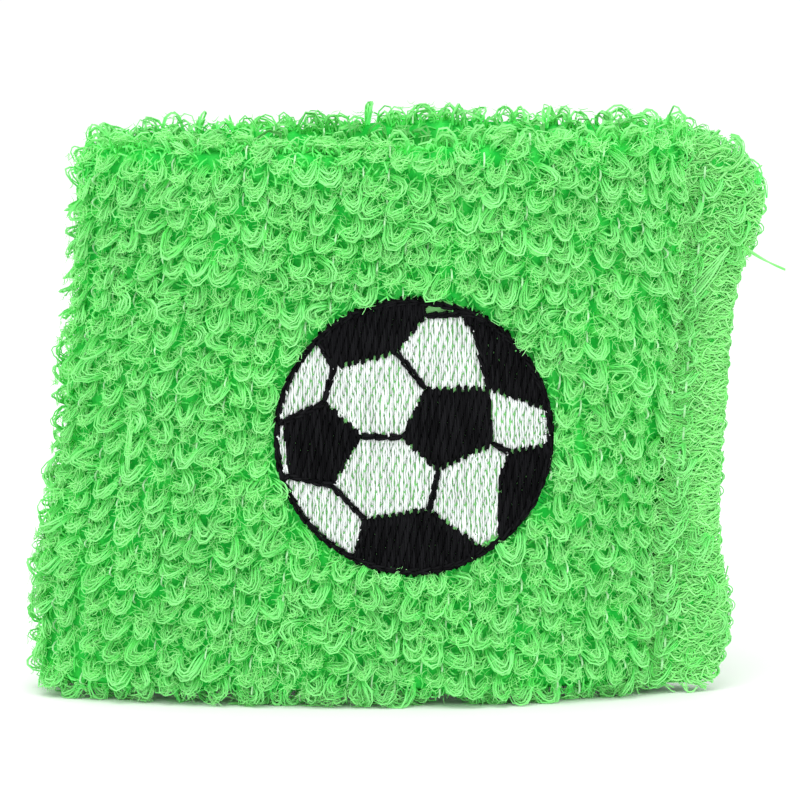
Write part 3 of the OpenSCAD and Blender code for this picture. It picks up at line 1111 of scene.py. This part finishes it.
        def at_rim(angle: float) -> tuple[float, float]:
            """A point on the rim's line."""
            return (98 * math.cos(math.radians(angle)), 98 * math.sin(math.radians(angle)))

        turns = np.radians(np.linspace(0, 360, 200))
        rim = np.stack([np.cos(turns), np.sin(turns)], -1) * 98
        lines = [
            [m[0], a[1]], [m[4], e[2]], [m[3], d[1]], [m[2], c[0]], [e[1], a[2]], [e[3], d[0]],
            [at_rim(174), e[0]], [e[4], at_rim(198)], [a[2], at_rim(134)], [d[0], at_rim(-115)],
            [a[0], b[0], at_rim(66)], [e[0], e[1]], [e[4], e[3]], [m[1], b[1]],
        ]
        return [rim * self.radius / 100] + [np.array(p, float) * self.radius / 100 for p in lines]

    def outline(self, name: str, rng: np.random.Generator) -> bpy.types.Object:
        """Sews the running outline, there and back, so that its stitches cross a little.

        Args:
            name: The node that it stands for.
            rng: The seeded random source.

        Returns:
            The mesh object.
        """
        flats, heights = [], []
        for line in self.outline_paths():
            steps = np.linalg.norm(np.diff(line, axis=0), axis=1)
            travel = np.concatenate([[0], np.cumsum(steps)])
            for side in (-1, 1, 0):
                count = max(1, round(travel[-1] / (1.45 if side else 1.9)))
                ends = np.linspace(0, travel[-1], count + 1)
                for start, stop in zip(ends, ends[1:]):
                    along = np.linspace(start - 0.12, stop + 0.12, 7)
                    x = np.interp(along, travel, line[:, 0])
                    y = np.interp(along, travel, line[:, 1])
                    way = unit(np.array([x[-1] - x[0], y[-1] - y[0]]))
                    drift = np.linspace(-0.12, 0.12, 7) * (side or 1) + side * 0.21
                    drift = drift + rng.normal(0, 0.04)
                    flat = np.stack([x - way[1] * drift, y + way[0] * drift], -1)
                    flats.append(flat)
                    arch = np.array([0.1, 0.75, 0.95, 1, 0.95, 0.75, 0.1])
                    heights.append(0.35 + (0.93 + rng.normal(0, 0.05)) * arch)
        flat, height = np.array(flats), np.array(heights)
        paths = self.on_cloth(flat, height)
        radii = self.outline_r * MM * rng.uniform(0.9, 1.1, len(flat))[:, None]
        return tubes(name, paths, radii, 1.0, rng.uniform(0, 1, len(flat)), 4)

    def wisps(self, name: str, count: int, rng: np.random.Generator) -> bpy.types.Object:
        """Short black hairs that stand off the right of the rim and off the black fields.

        Args:
            name: The piece's name.
            count: Number of hairs.
            rng: The seeded random source.

        Returns:
            The mesh object.
        """
        angle = np.radians(rng.uniform(-70, 75, count))
        start = self.radius * rng.uniform(0.9, 1.0, count)
        heading = angle + rng.normal(0, 0.9, count)
        step = np.linspace(0, 1, 5)[None, :] * rng.uniform(0.5, 1.5, count)[:, None]
        bend = rng.normal(0, 0.3, count)[:, None] * step ** 2
        x = (start * np.cos(angle))[:, None] + np.cos(heading)[:, None] * step - bend
        y = (start * np.sin(angle))[:, None] + np.sin(heading)[:, None] * step + bend
        height = 0.95 + rng.uniform(0, 0.5, count)[:, None] * step
        paths = self.on_cloth(np.stack([x, y], -1), height)
        return tubes(name, paths, self.wisp_r * MM, 1.0, rng.uniform(0, 1, count))

    def disc(self, name: str, radius: float, height: float, rough: float, thick: float,
             rng: np.random.Generator) -> bpy.types.Object:
        """A round sheet that follows the band's front.

        Args:
            name: The piece's name.
            radius: Its radius in millimetres.
            height: Height above the ground's middle.
            rough: How far its surface goes up and down.
            thick: Its thickness.
            rng: The seeded random source.

        Returns:
            The mesh object.
        """
        body = bmesh.new()
        bmesh.ops.create_circle(body, cap_ends=True, radius=radius, segments=96)
        for _ in range(3):
            bmesh.ops.inset_region(body, faces=body.faces[:1], thickness=radius / 30)
        bmesh.ops.triangulate(body, faces=body.faces[:])
        bmesh.ops.subdivide_edges(
            body, edges=[e for e in body.edges if e.calc_length() > 2.0], cuts=7, use_grid_fill=True
        )
        bmesh.ops.triangulate(body, faces=body.faces[:])
        flat = np.array([v.co[:2] for v in body.verts])
        heights = height + rng.normal(0, rough, len(flat))
        for v, place in zip(body.verts, self.on_cloth(flat, heights)):
            v.co = place
        bmesh.ops.recalc_face_normals(body, faces=body.faces)
        return thickened(linked(name, body), thick)

    def build(self) -> list[bpy.types.Object]:
        """Sews the whole ball, and returns its pieces."""
        rng = np.random.default_rng(7)
        pieces = []
        for name, corners in self.black_fields().items():
            piece = self.fill("sewn_" + name, corners, False, rng)
            pieces.append(dress(piece, BLACK_FINISH, name))
        for name, corners in self.white_fields().items():
            piece = self.fill("sewn_" + name, corners, True, rng)
            pieces.append(dress(piece, WHITE_FINISH, name))
        outline = self.outline("sewn_ball_outline", rng)
        dress(outline, BLACK_FINISH, "ball_outline_thread")
        hairs = self.wisps("black_thread_hairs", 220, rng)
        dress(hairs, BLACK_FINISH)
        pressed = self.disc("pressed_pile", self.radius, 0.42, 0.06, 0.3, rng)
        dress(pressed, FUZZ_FINISH)
        backing = self.disc("backing_fleece", self.radius + 3, -0.35, 0.0, 0.15, rng)
        dress(backing, FLEECE_FINISH, "embroidery_backing")
        bobbin = self.disc("bobbin_thread", self.radius, -0.55, 0.02, 0.12, rng)
        dress(bobbin, WHITE_FINISH, "embroidery_bobbin_thread")
        return [*pieces, outline, hairs, pressed, backing, bobbin]


# ---------------------------------------------------------------- the seam

@dataclass
class SideSeam:
    """The sewn ends of the tube: a combed allowance, its stitches and its loose ends."""

    ground: KnittedGround
    pile: Pile
    width: float = 5.4
    half: float = 2.3
    flare: float = 2.7
    fall: float = 7.0
    inset: float = 0.5
    comb_r: float = 0.095
    edge_loop_r: float = 0.09
    slack_r: float = 0.085
    snag_r: float = 0.08
    stitch_r: float = 0.16
    overlock_r: float = 0.15
    loose: tuple = ((40.9, 69.6, 1.35), (39.1, 12.6, 1.2), (39.4, 9.0, 1.3))

    def __post_init__(self) -> None:
        """Finds the allowance in the frame."""
        low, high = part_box("front_seam_allowance")
        self.low_z, self.high_z = low[2] / MM + 0.2, high[2] / MM - 0.2
        self.root_mid = low[0] / MM + self.ground.lean * (self.ground.height / 2 - low[2] / MM)

    def root_x(self, z: np.ndarray) -> np.ndarray:
        """Where the allowance leaves the loop, at a height."""
        return self.root_mid + self.ground.lean * (z - self.ground.height / 2)

    def edge(self, z: np.ndarray) -> np.ndarray:
        """How far the allowance stands out at a height, flare and scallops included."""
        flare = self.flare / (1 + np.exp(-(z - 56.5) / 1.8)) / (1 + np.exp((z - 68.0) / 0.5))
        foot = 3.0 * np.exp(-((z - 8.5) / 8.0) ** 2)
        short = -0.36 * np.exp(-((z - 45.0) / 12.0) ** 2)
        scallop = 0.3 * np.abs(np.sin(z * math.pi / 2.9))
        return self.width + flare + foot + short + scallop

    def top(self, f: np.ndarray) -> np.ndarray:
        """Height of the allowance's top, which falls towards its edge.

        Args:
            f: Fractions of the way from the seam line to the edge.

        Returns:
            Heights in millimetres.
        """
        return self.high_z - self.fall * np.clip(f, 0, 1) ** 1.6

    def thick(self, f: np.ndarray) -> np.ndarray:
        """Half of the allowance's thickness, pile included.

        Args:
            f: Fractions of the way from the seam line to the edge, below 0 inside the band.

        Returns:
            Distances from the allowance's middle, in millimetres.
        """
        inside = np.clip(-f, 0, 1) * self.width
        return self.half * np.sqrt(np.clip(1 - np.clip(f, 0, 1) ** 2.6, 0, 1)) + inside * 0.4

    def body(self, name: str, side: int) -> bpy.types.Object:
        """One pressed end of the tube, as a closed solid with a rounded edge.

        Args:
            name: The piece's name.
            side: -1 for the front one, 1 for the back one.

        Returns:
            The mesh object.
        """
        body = bmesh.new()
        bmesh.ops.create_grid(body, x_segments=100, y_segments=14, size=0.5)
        flat = np.array([v.co[:2] for v in body.verts]) + 0.5
        f = -0.3 + 1.3 * np.sin(flat[:, 1] * math.pi / 2)
        top = self.top(f)
        z = self.low_z + flat[:, 0] * (top - self.low_z)
        end = np.clip(np.minimum(z - self.low_z, top - z) / 1.6, 0, 1)
        rounded = np.sqrt(1 - (1 - end) ** 2)
        x = self.root_x(z) + f * (self.edge(z) - self.inset) * (0.75 + 0.25 * rounded)
        y = side * (0.24 + np.clip(self.thick(f) - self.inset, 0, 9) * (0.4 + 0.6 * rounded))
        for v, place in zip(body.verts, np.stack([x, y, z], -1) * MM):
            v.co = place
        bmesh.ops.recalc_face_normals(body, faces=body.faces)
        return thickened(linked(name, body), self.ground.ply_t)

    def combed(self, name: str, side: int, count: int, rng: np.random.Generator) -> bpy.types.Object:
        """Fibres combed out over one face of the allowance.

        Args:
            name: The piece's name.
            side: -1 for the front, 1 for the back.
            count: Number of fibres.
            rng: The seeded random source.

        Returns:
            The mesh object.
        """
        start = rng.uniform(-0.5, 0.9, count)
        z = rng.uniform(self.low_z, self.top(start + 0.15), count)
        span = rng.uniform(0.7, 2.6, count)
        step = np.linspace(0, 1, 5)
        reach = self.edge(z)
        climb = rng.normal(0.1, 0.75, count)[:, None] * step[None, :]
        bow = rng.normal(0, 0.45, count)[:, None] * np.sin(step * math.pi)[None, :]
        run = start[:, None] * reach[:, None] + span[:, None] * step[None, :]
        f = run / reach[:, None]
        f = np.where(f > 0.96, 0.96 + (f - 0.96) * 0.15, f)
        height = np.maximum(z[:, None] + climb + bow, 0.1)
        x = self.root_x(height) + f * reach[:, None]
        lift = rng.uniform(-0.35, 0.35, count)[:, None] + 0.35 * np.sin(step * math.pi)[None, :]
        y = side * np.clip(self.thick(f) + lift, 0.0, 9.0)
        paths = np.stack([x, y, height], -1) * MM
        radii = self.comb_r * MM * rng.uniform(0.5, 1.4, count)[:, None]
        tip = np.clip(0.45 + 0.55 * f, 0, 1)
        return tubes(name, paths, radii, tip, rng.uniform(0, 1, count))

    def edge_loops(self, name: str, rng: np.random.Generator) -> bpy.types.Object:
        """Small loops that stand out past the allowance's edge."""
        z = np.arange(self.low_z + 1.0, self.high_z - self.fall - 1.4, 2.1)
        z = np.repeat(z + rng.normal(0, 0.3, len(z)), 5)
        count = len(z)
        reach = self.edge(z)
        phi = np.linspace(0, math.pi, 8)
        big = rng.uniform(0.6, 1.1, count)[:, None]
        spread = rng.normal(0, 0.14, count)[:, None]
        height = z[:, None] - np.cos(phi)[None, :] * 0.85 * big + spread
        x = self.root_x(height) + reach[:, None] - 0.9 + np.sin(phi)[None, :] * (1.15 * big + spread)
        y = rng.normal(0, 0.5, count)[:, None] + rng.normal(0, 0.05, (count, 8))
        paths = np.stack([x, y, height], -1) * MM
        # The tip value peaks at each loop's crest: painted shade at its ends, a painted highlight at its
        # crest.
        tip = 0.4 + 0.6 * np.sin(phi)
        return tubes(name, paths, self.edge_loop_r * MM, tip, rng.uniform(0, 1, count))

    def loose_loops(self, name: str, strands: int, rng: np.random.Generator) -> bpy.types.Object:
        """A few big slack loops of many fibres, at the corners of the seam.

        Args:
            name: The piece's name.
            strands: Number of fibres in each.
            rng: The seeded random source.

        Returns:
            The mesh object.
        """
        paths = []
        turn = np.linspace(-0.35, 2 * math.pi - 0.9, 16)
        for x, z, radius in self.loose:
            for _ in range(strands):
                r = radius + rng.normal(0, 0.27)
                wobble = rng.normal(0, 0.05, (3, 16))
                shift = rng.normal(0, 0.13, 3)
                ring = np.stack([x + shift[0] + r * np.cos(turn + 2.6) * 0.85,
                                 np.full(16, -1.5) + shift[1] * 2, z + shift[2] + r * np.sin(turn + 2.6)])
                paths.append((ring + wobble).T * MM)
        strand = rng.uniform(0, 1, len(paths))
        return tubes(name, np.array(paths), self.slack_r * MM, 0.9, strand)

    def root_loops(self, name: str, rng: np.random.Generator) -> bpy.types.Object:
        """Pile loops that stand on the allowance: at its root, at its foot and along its top.

        Args:
            name: The piece's name.
            rng: The seeded random source.

        Returns:
            The mesh object.
        """
        rise = np.arange(self.low_z + 0.8, self.high_z - 4.4, 2.7)
        columns = [
            (rise, -0.12, -1.0), (rise + 1.3, -0.02, -1.0), (rise, -0.12, 1.0), (rise + 1.3, -0.02, 1.0),
            (rise[rise < 22.0] + 0.6, 0.6, -1.0), (rise[rise > 56.0] + 0.9, 0.5, -1.0),
        ]
        z = np.concatenate([heights for heights, _, _ in columns])
        f = np.concatenate([np.full(len(heights), across) for heights, across, _ in columns])
        side = np.concatenate([np.full(len(heights), way) for heights, _, way in columns])
        count = len(z)
        f = f + rng.normal(0, 0.07, count)
        z = z + rng.normal(0, 0.3, count)
        x = self.root_x(z) + f * self.edge(z)
        place = np.stack([x, side * (self.thick(f) - 0.9), z], -1) * MM
        along = np.stack([-side, np.zeros(count), np.zeros(count)], -1)
        up = np.stack([np.full(count, self.ground.lean), np.zeros(count), np.ones(count)], -1)
        out = np.stack([np.zeros(count), side, np.zeros(count)], -1)
        pairs = 7
        more = 2 * pairs
        f = np.repeat(np.linspace(-0.1, 0.85, pairs), 2) + rng.normal(0, 0.03, more)
        z = self.top(f) - 1.7
        crown = np.stack([self.root_x(z) + f * self.edge(z), np.tile([-0.9, 0.9], pairs), z], -1) * MM
        spots = (
            np.concatenate([place, crown]),
            np.concatenate([along, np.tile([[0.0, 1.0, 0.0]], (more, 1))]),
            np.concatenate([up, np.tile([[-1.0, 0.0, 0.0]], (more, 1))]),
            np.concatenate([out, np.tile([[0.0, 0.0, 1.0]], (more, 1))]),
        )
        return self.pile.loops(name, spots, np.full(count + more, 9.0), 12, 8, rng)

    def stitches(self, name: str, side: int, rng: np.random.Generator) -> bpy.types.Object:
        """The line of seam stitches on one side of the valley."""
        z0 = np.arange(self.low_z + 1.5, self.high_z - 2.5, 3.0)
        z0 = z0[rng.uniform(0, 1, len(z0)) < 0.75]
        z0 = z0 + rng.normal(0, 0.25, len(z0))
        step = np.linspace(0, 1, 6)
        z = z0[:, None] + 1.5 * step[None, :]
        x = self.root_x(z) + 0.1 + rng.normal(0, 0.08, len(z0))[:, None]
        y = side * (self.half + 0.9 + 0.6 * np.sin(step * math.pi)[None, :] + 0 * z)
        paths = np.stack([x, y, z], -1) * MM
        return tubes(name, paths, self.stitch_r * MM, 1.0, rng.uniform(0, 1, len(z0)))

    def overlock(self, name: str, rng: np.random.Generator) -> bpy.types.Object:
        """Thread wrapped over the allowance's edge, again and again up the seam."""
        z0 = np.arange(self.low_z + 1.2, self.high_z - self.fall - 1.2, 3.0)
        turn = np.linspace(-1, 1, 13)
        reach = self.edge(z0)[:, None]
        f = 1 - np.abs(turn)[None, :] ** 1.5 * 0.7
        z = z0[:, None] + 0.7 * turn[None, :]
        x = self.root_x(z) + f * (reach - 0.35)
        y = np.sign(turn)[None, :] * (self.half + 0.1) * np.clip(np.abs(turn), 0, 1)[None, :] ** 0.4
        paths = np.stack([x, y + 0 * z, z], -1) * MM
        return tubes(name, paths, self.overlock_r * MM, 1.0, rng.uniform(0, 1, len(z0)))

    def tail(self, name: str) -> bpy.types.Object:
        """The loose end of sewing thread, in two slightly parted strands."""
        low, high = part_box("thread_tail")
        step = np.linspace(0, 1, 14)
        start = np.array([low[0] + 0.0002, -0.0016, high[2] + 0.0002])
        end = np.array([high[0] + 0.0018, -0.0012, low[2] - 0.0001])
        paths = []
        for part in (-1, 1):
            line = start + (end - start) * step[:, None]
            line[:, 2] -= np.sin(step * math.pi) * 0.25 * MM
            line[:, 2] += np.sin(step * math.pi * 1.6) * part * 0.09 * MM
            line[:, 1] += part * 0.05 * MM
            paths.append(line)
        radii = self.stitch_r * MM * (1.15 - 0.55 * step)
        return tubes(name, np.array(paths), radii, 1.0, np.array([0.4, 0.8]))

    def snags(self, name: str, rng: np.random.Generator) -> bpy.types.Object:
        """Pulled pile loops: one upright at the left of the front, one slanting over the seam."""
        low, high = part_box("pulled_loops")
        step = np.linspace(0, 1, 12)
        paths = []
        for _ in range(7):
            z = (low[2] + 0.0002) + (high[2] - low[2]) * step
            x = low[0] + 0.0004 + self.ground.lean * (z - low[2]) + rng.normal(0, 0.00014)
            y = self.front_y(x, z) - 0.0003 - 0.0005 * np.sin(step * math.pi)
            paths.append(np.stack([x + rng.normal(0, 0.00006, 12), y + rng.normal(0, 0.00008), z], -1))
        for k in range(12):
            z = 56.8 - 8.6 * step + rng.normal(0, 0.25)
            fan = (k - 5.5) * 0.24 * np.sin(step * math.pi * 0.9) + 0.12 * np.sin(step * 9 + k)
            x = self.root_x(z) + 3.9 - 5.9 * step + fan + rng.normal(0, 0.05)
            y = -(self.half + 0.55 + 3.6 * np.clip(step - 0.45, 0, 1) ** 1.3 + rng.uniform(0, 0.3))
            paths.append(np.stack([x, y, z + fan * 0.4], -1) * MM)
        strand = rng.uniform(0.3, 1, len(paths))
        return tubes(name, np.array(paths), self.snag_r * MM, 1.0, strand)

    def front_y(self, x: np.ndarray, z: np.ndarray) -> np.ndarray:
        """Depth of the pile's front at places given in metres."""
        middle = self.ground.middle_x + self.ground.lean * (z / MM - self.ground.height / 2)
        across = np.clip((x / MM - middle) / (self.ground.hole_a + self.ground.wall_t), -1, 1)
        deep = self.ground.hole_b + self.ground.wall_t
        return -deep * np.sqrt(np.clip(1 - np.abs(across) ** 2.2, 0.02, 1)) * MM

    def build(self) -> list[bpy.types.Object]:
        """Makes the seam, and returns its pieces."""
        rng = np.random.default_rng(19)
        pieces = []
        for word, side in (("front", -1), ("back", 1)):
            body = self.body(word + "_allowance", side)
            dress(body, GROUND_FINISH, word + "_seam_allowance")
            comb = self.combed(word + "_allowance_pile", side, 4800 if side < 0 else 1900, rng)
            dress(comb, FUZZ_FINISH)
            pieces += [body, comb]
        loops = self.edge_loops("allowance_edge_loops", rng)
        dress(loops, PILE_FINISH)
        root = self.root_loops("allowance_root_loops", rng)
        dress(root, PILE_FINISH)
        slack = self.loose_loops("slack_corner_loops", 14, rng)
        dress(slack, PILE_FINISH)
        needle = self.stitches("seam_needle_stitches", -1, rng)
        dress(needle, GROUND_YARN_FINISH, "seam_needle_thread")
        bobbin = self.stitches("seam_bobbin_stitches", 1, rng)
        dress(bobbin, GROUND_YARN_FINISH, "seam_bobbin_thread")
        overlock = self.overlock("overlock_stitches", rng)
        dress(overlock, SEWING_FINISH, "overlock_thread")
        tail = self.tail("loose_thread_tail")
        dress(tail, FUZZ_FINISH, "thread_tail")
        snags = self.snags("pulled_pile_loops", rng)
        dress(snags, PILE_FINISH, "pulled_loops")
        return [*pieces, loops, root, slack, needle, bobbin, overlock, tail, snags]


# ---------------------------------------------------------------- the elastic

@dataclass
class ElasticYarns:
    """Covered elastic yarns that run level round the loop at the back of each ply."""

    ground: KnittedGround
    count: int = 12
    depth: float = 0.42
    radius: float = 0.14

    def rings(self, name: str, outer: bool) -> bpy.types.Object:
        """The yarns of one ply.

        Args:
            name: The piece's name.
            outer: True for the ply away from the wrist.

        Returns:
            The mesh object.
        """
        wall = (self.ground.fold_high - self.ground.fold_low) / self.ground.tube
        fold = math.pi * self.ground.ply_middle / 2 / self.ground.tube
        start = fold if outer else fold + 0.5
        t = start + wall * (np.arange(self.count) + 0.5) / self.count
        s = np.linspace(0.004, 0.996, 150)
        ss, tt = np.meshgrid(s, t)
        place, _, _, out = self.ground.surface.at(ss, tt)
        paths = place - out * self.depth * MM
        return tubes(name, paths, self.radius * MM, 1.0, np.linspace(0.2, 0.8, self.count))

    def build(self) -> list[bpy.types.Object]:
        """Makes the yarns of both plies, and returns the pieces."""
        pieces = []
        for word, outer in (("outer", True), ("inner", False)):
            piece = self.rings(word + "_elastic", outer)
            pieces.append(dress(piece, ELASTIC_FINISH, word + "_elastic_yarns"))
        return pieces


# ---------------------------------------------------------------- the studio

@dataclass
class Studio:
    """A pale floor, soft lights and the camera."""

    elevation: float = 8.5
    distance: float = 0.9
    frame_width: float = 0.1015
    aim: tuple[float, float, float] = (-0.0009, 0.0, 0.0373)

    def build(self) -> None:
        """Makes the floor, the lights and the camera."""
        scene = bpy.context.scene
        scene.view_settings.view_transform = "Standard"
        self.floor()
        world = bpy.data.worlds.new("soft_room")
        world.use_nodes = True
        world.node_tree.nodes["Background"].inputs["Color"].default_value = (1, 1, 1, 1)
        world.node_tree.nodes["Background"].inputs["Strength"].default_value = 1.0
        scene.world = world
        self.light("key", (-0.15, -0.35, 0.75), 0.6, 3.05)
        self.light("fill", (0.5, -0.5, 0.3), 0.5, 0.8)
        self.camera()

    def floor(self) -> None:
        """A wide pale floor under the band."""
        body = bmesh.new()
        bmesh.ops.create_grid(body, x_segments=1, y_segments=1, size=4.0)
        floor = linked("floor", body)
        material = plain_material("floor_paper", 0.9, 0.1)
        shader = material.node_tree.nodes["Principled BSDF"]
        shader.inputs["Base Color"].default_value = rgba(Shade.FLOOR.value)
        floor.data.materials.append(material)

    def light(self, name: str, place: tuple[float, float, float], size: float, power: float) -> None:
        """A square soft light aimed at the band.

        Args:
            name: The light's name.
            place: Where it stands, in metres.
            size: Its side, in metres.
            power: Its power, in watts.
        """
        data = bpy.data.lights.new(name, "AREA")
        data.energy = power
        data.size = size
        lamp = bpy.data.objects.new(name, data)
        lamp.location = place
        lamp.rotation_euler = (Vector(self.aim) - Vector(place)).to_track_quat("-Z", "Y").to_euler()
        bpy.context.scene.collection.objects.link(lamp)

    def camera(self) -> None:
        """The camera, at a low angle in front of the band."""
        data = bpy.data.cameras.new("camera")
        data.sensor_width = 36.0
        data.lens = 36.0 * self.distance / self.frame_width
        data.clip_start = 0.01
        camera = bpy.data.objects.new("camera", data)
        angle = math.radians(self.elevation)
        away = Vector((0, -math.cos(angle), math.sin(angle))) * self.distance
        camera.location = Vector(self.aim) + away
        camera.rotation_euler = (-away).to_track_quat("-Z", "Y").to_euler()
        bpy.context.scene.collection.objects.link(camera)
        bpy.context.scene.camera = camera


def main() -> None:
    """Builds the band in order."""
    logging.basicConfig(level=logging.INFO, format="%(message)s")
    Studio().build()
    ground = KnittedGround()
    ground.settle()
    for word, outer in (("outer", True), ("inner", False)):
        ply = ground.ply(word + "_ground_ply", outer)
        dress(ply, GROUND_FINISH, word + "_ground")
    pile_maker = Pile(ground)
    pile = pile_maker.build()
    ball = Embroidery(ground).build()
    seam = SideSeam(ground, pile_maker).build()
    elastic = ElasticYarns(ground).build()


if __name__ == "__main__":
    main()
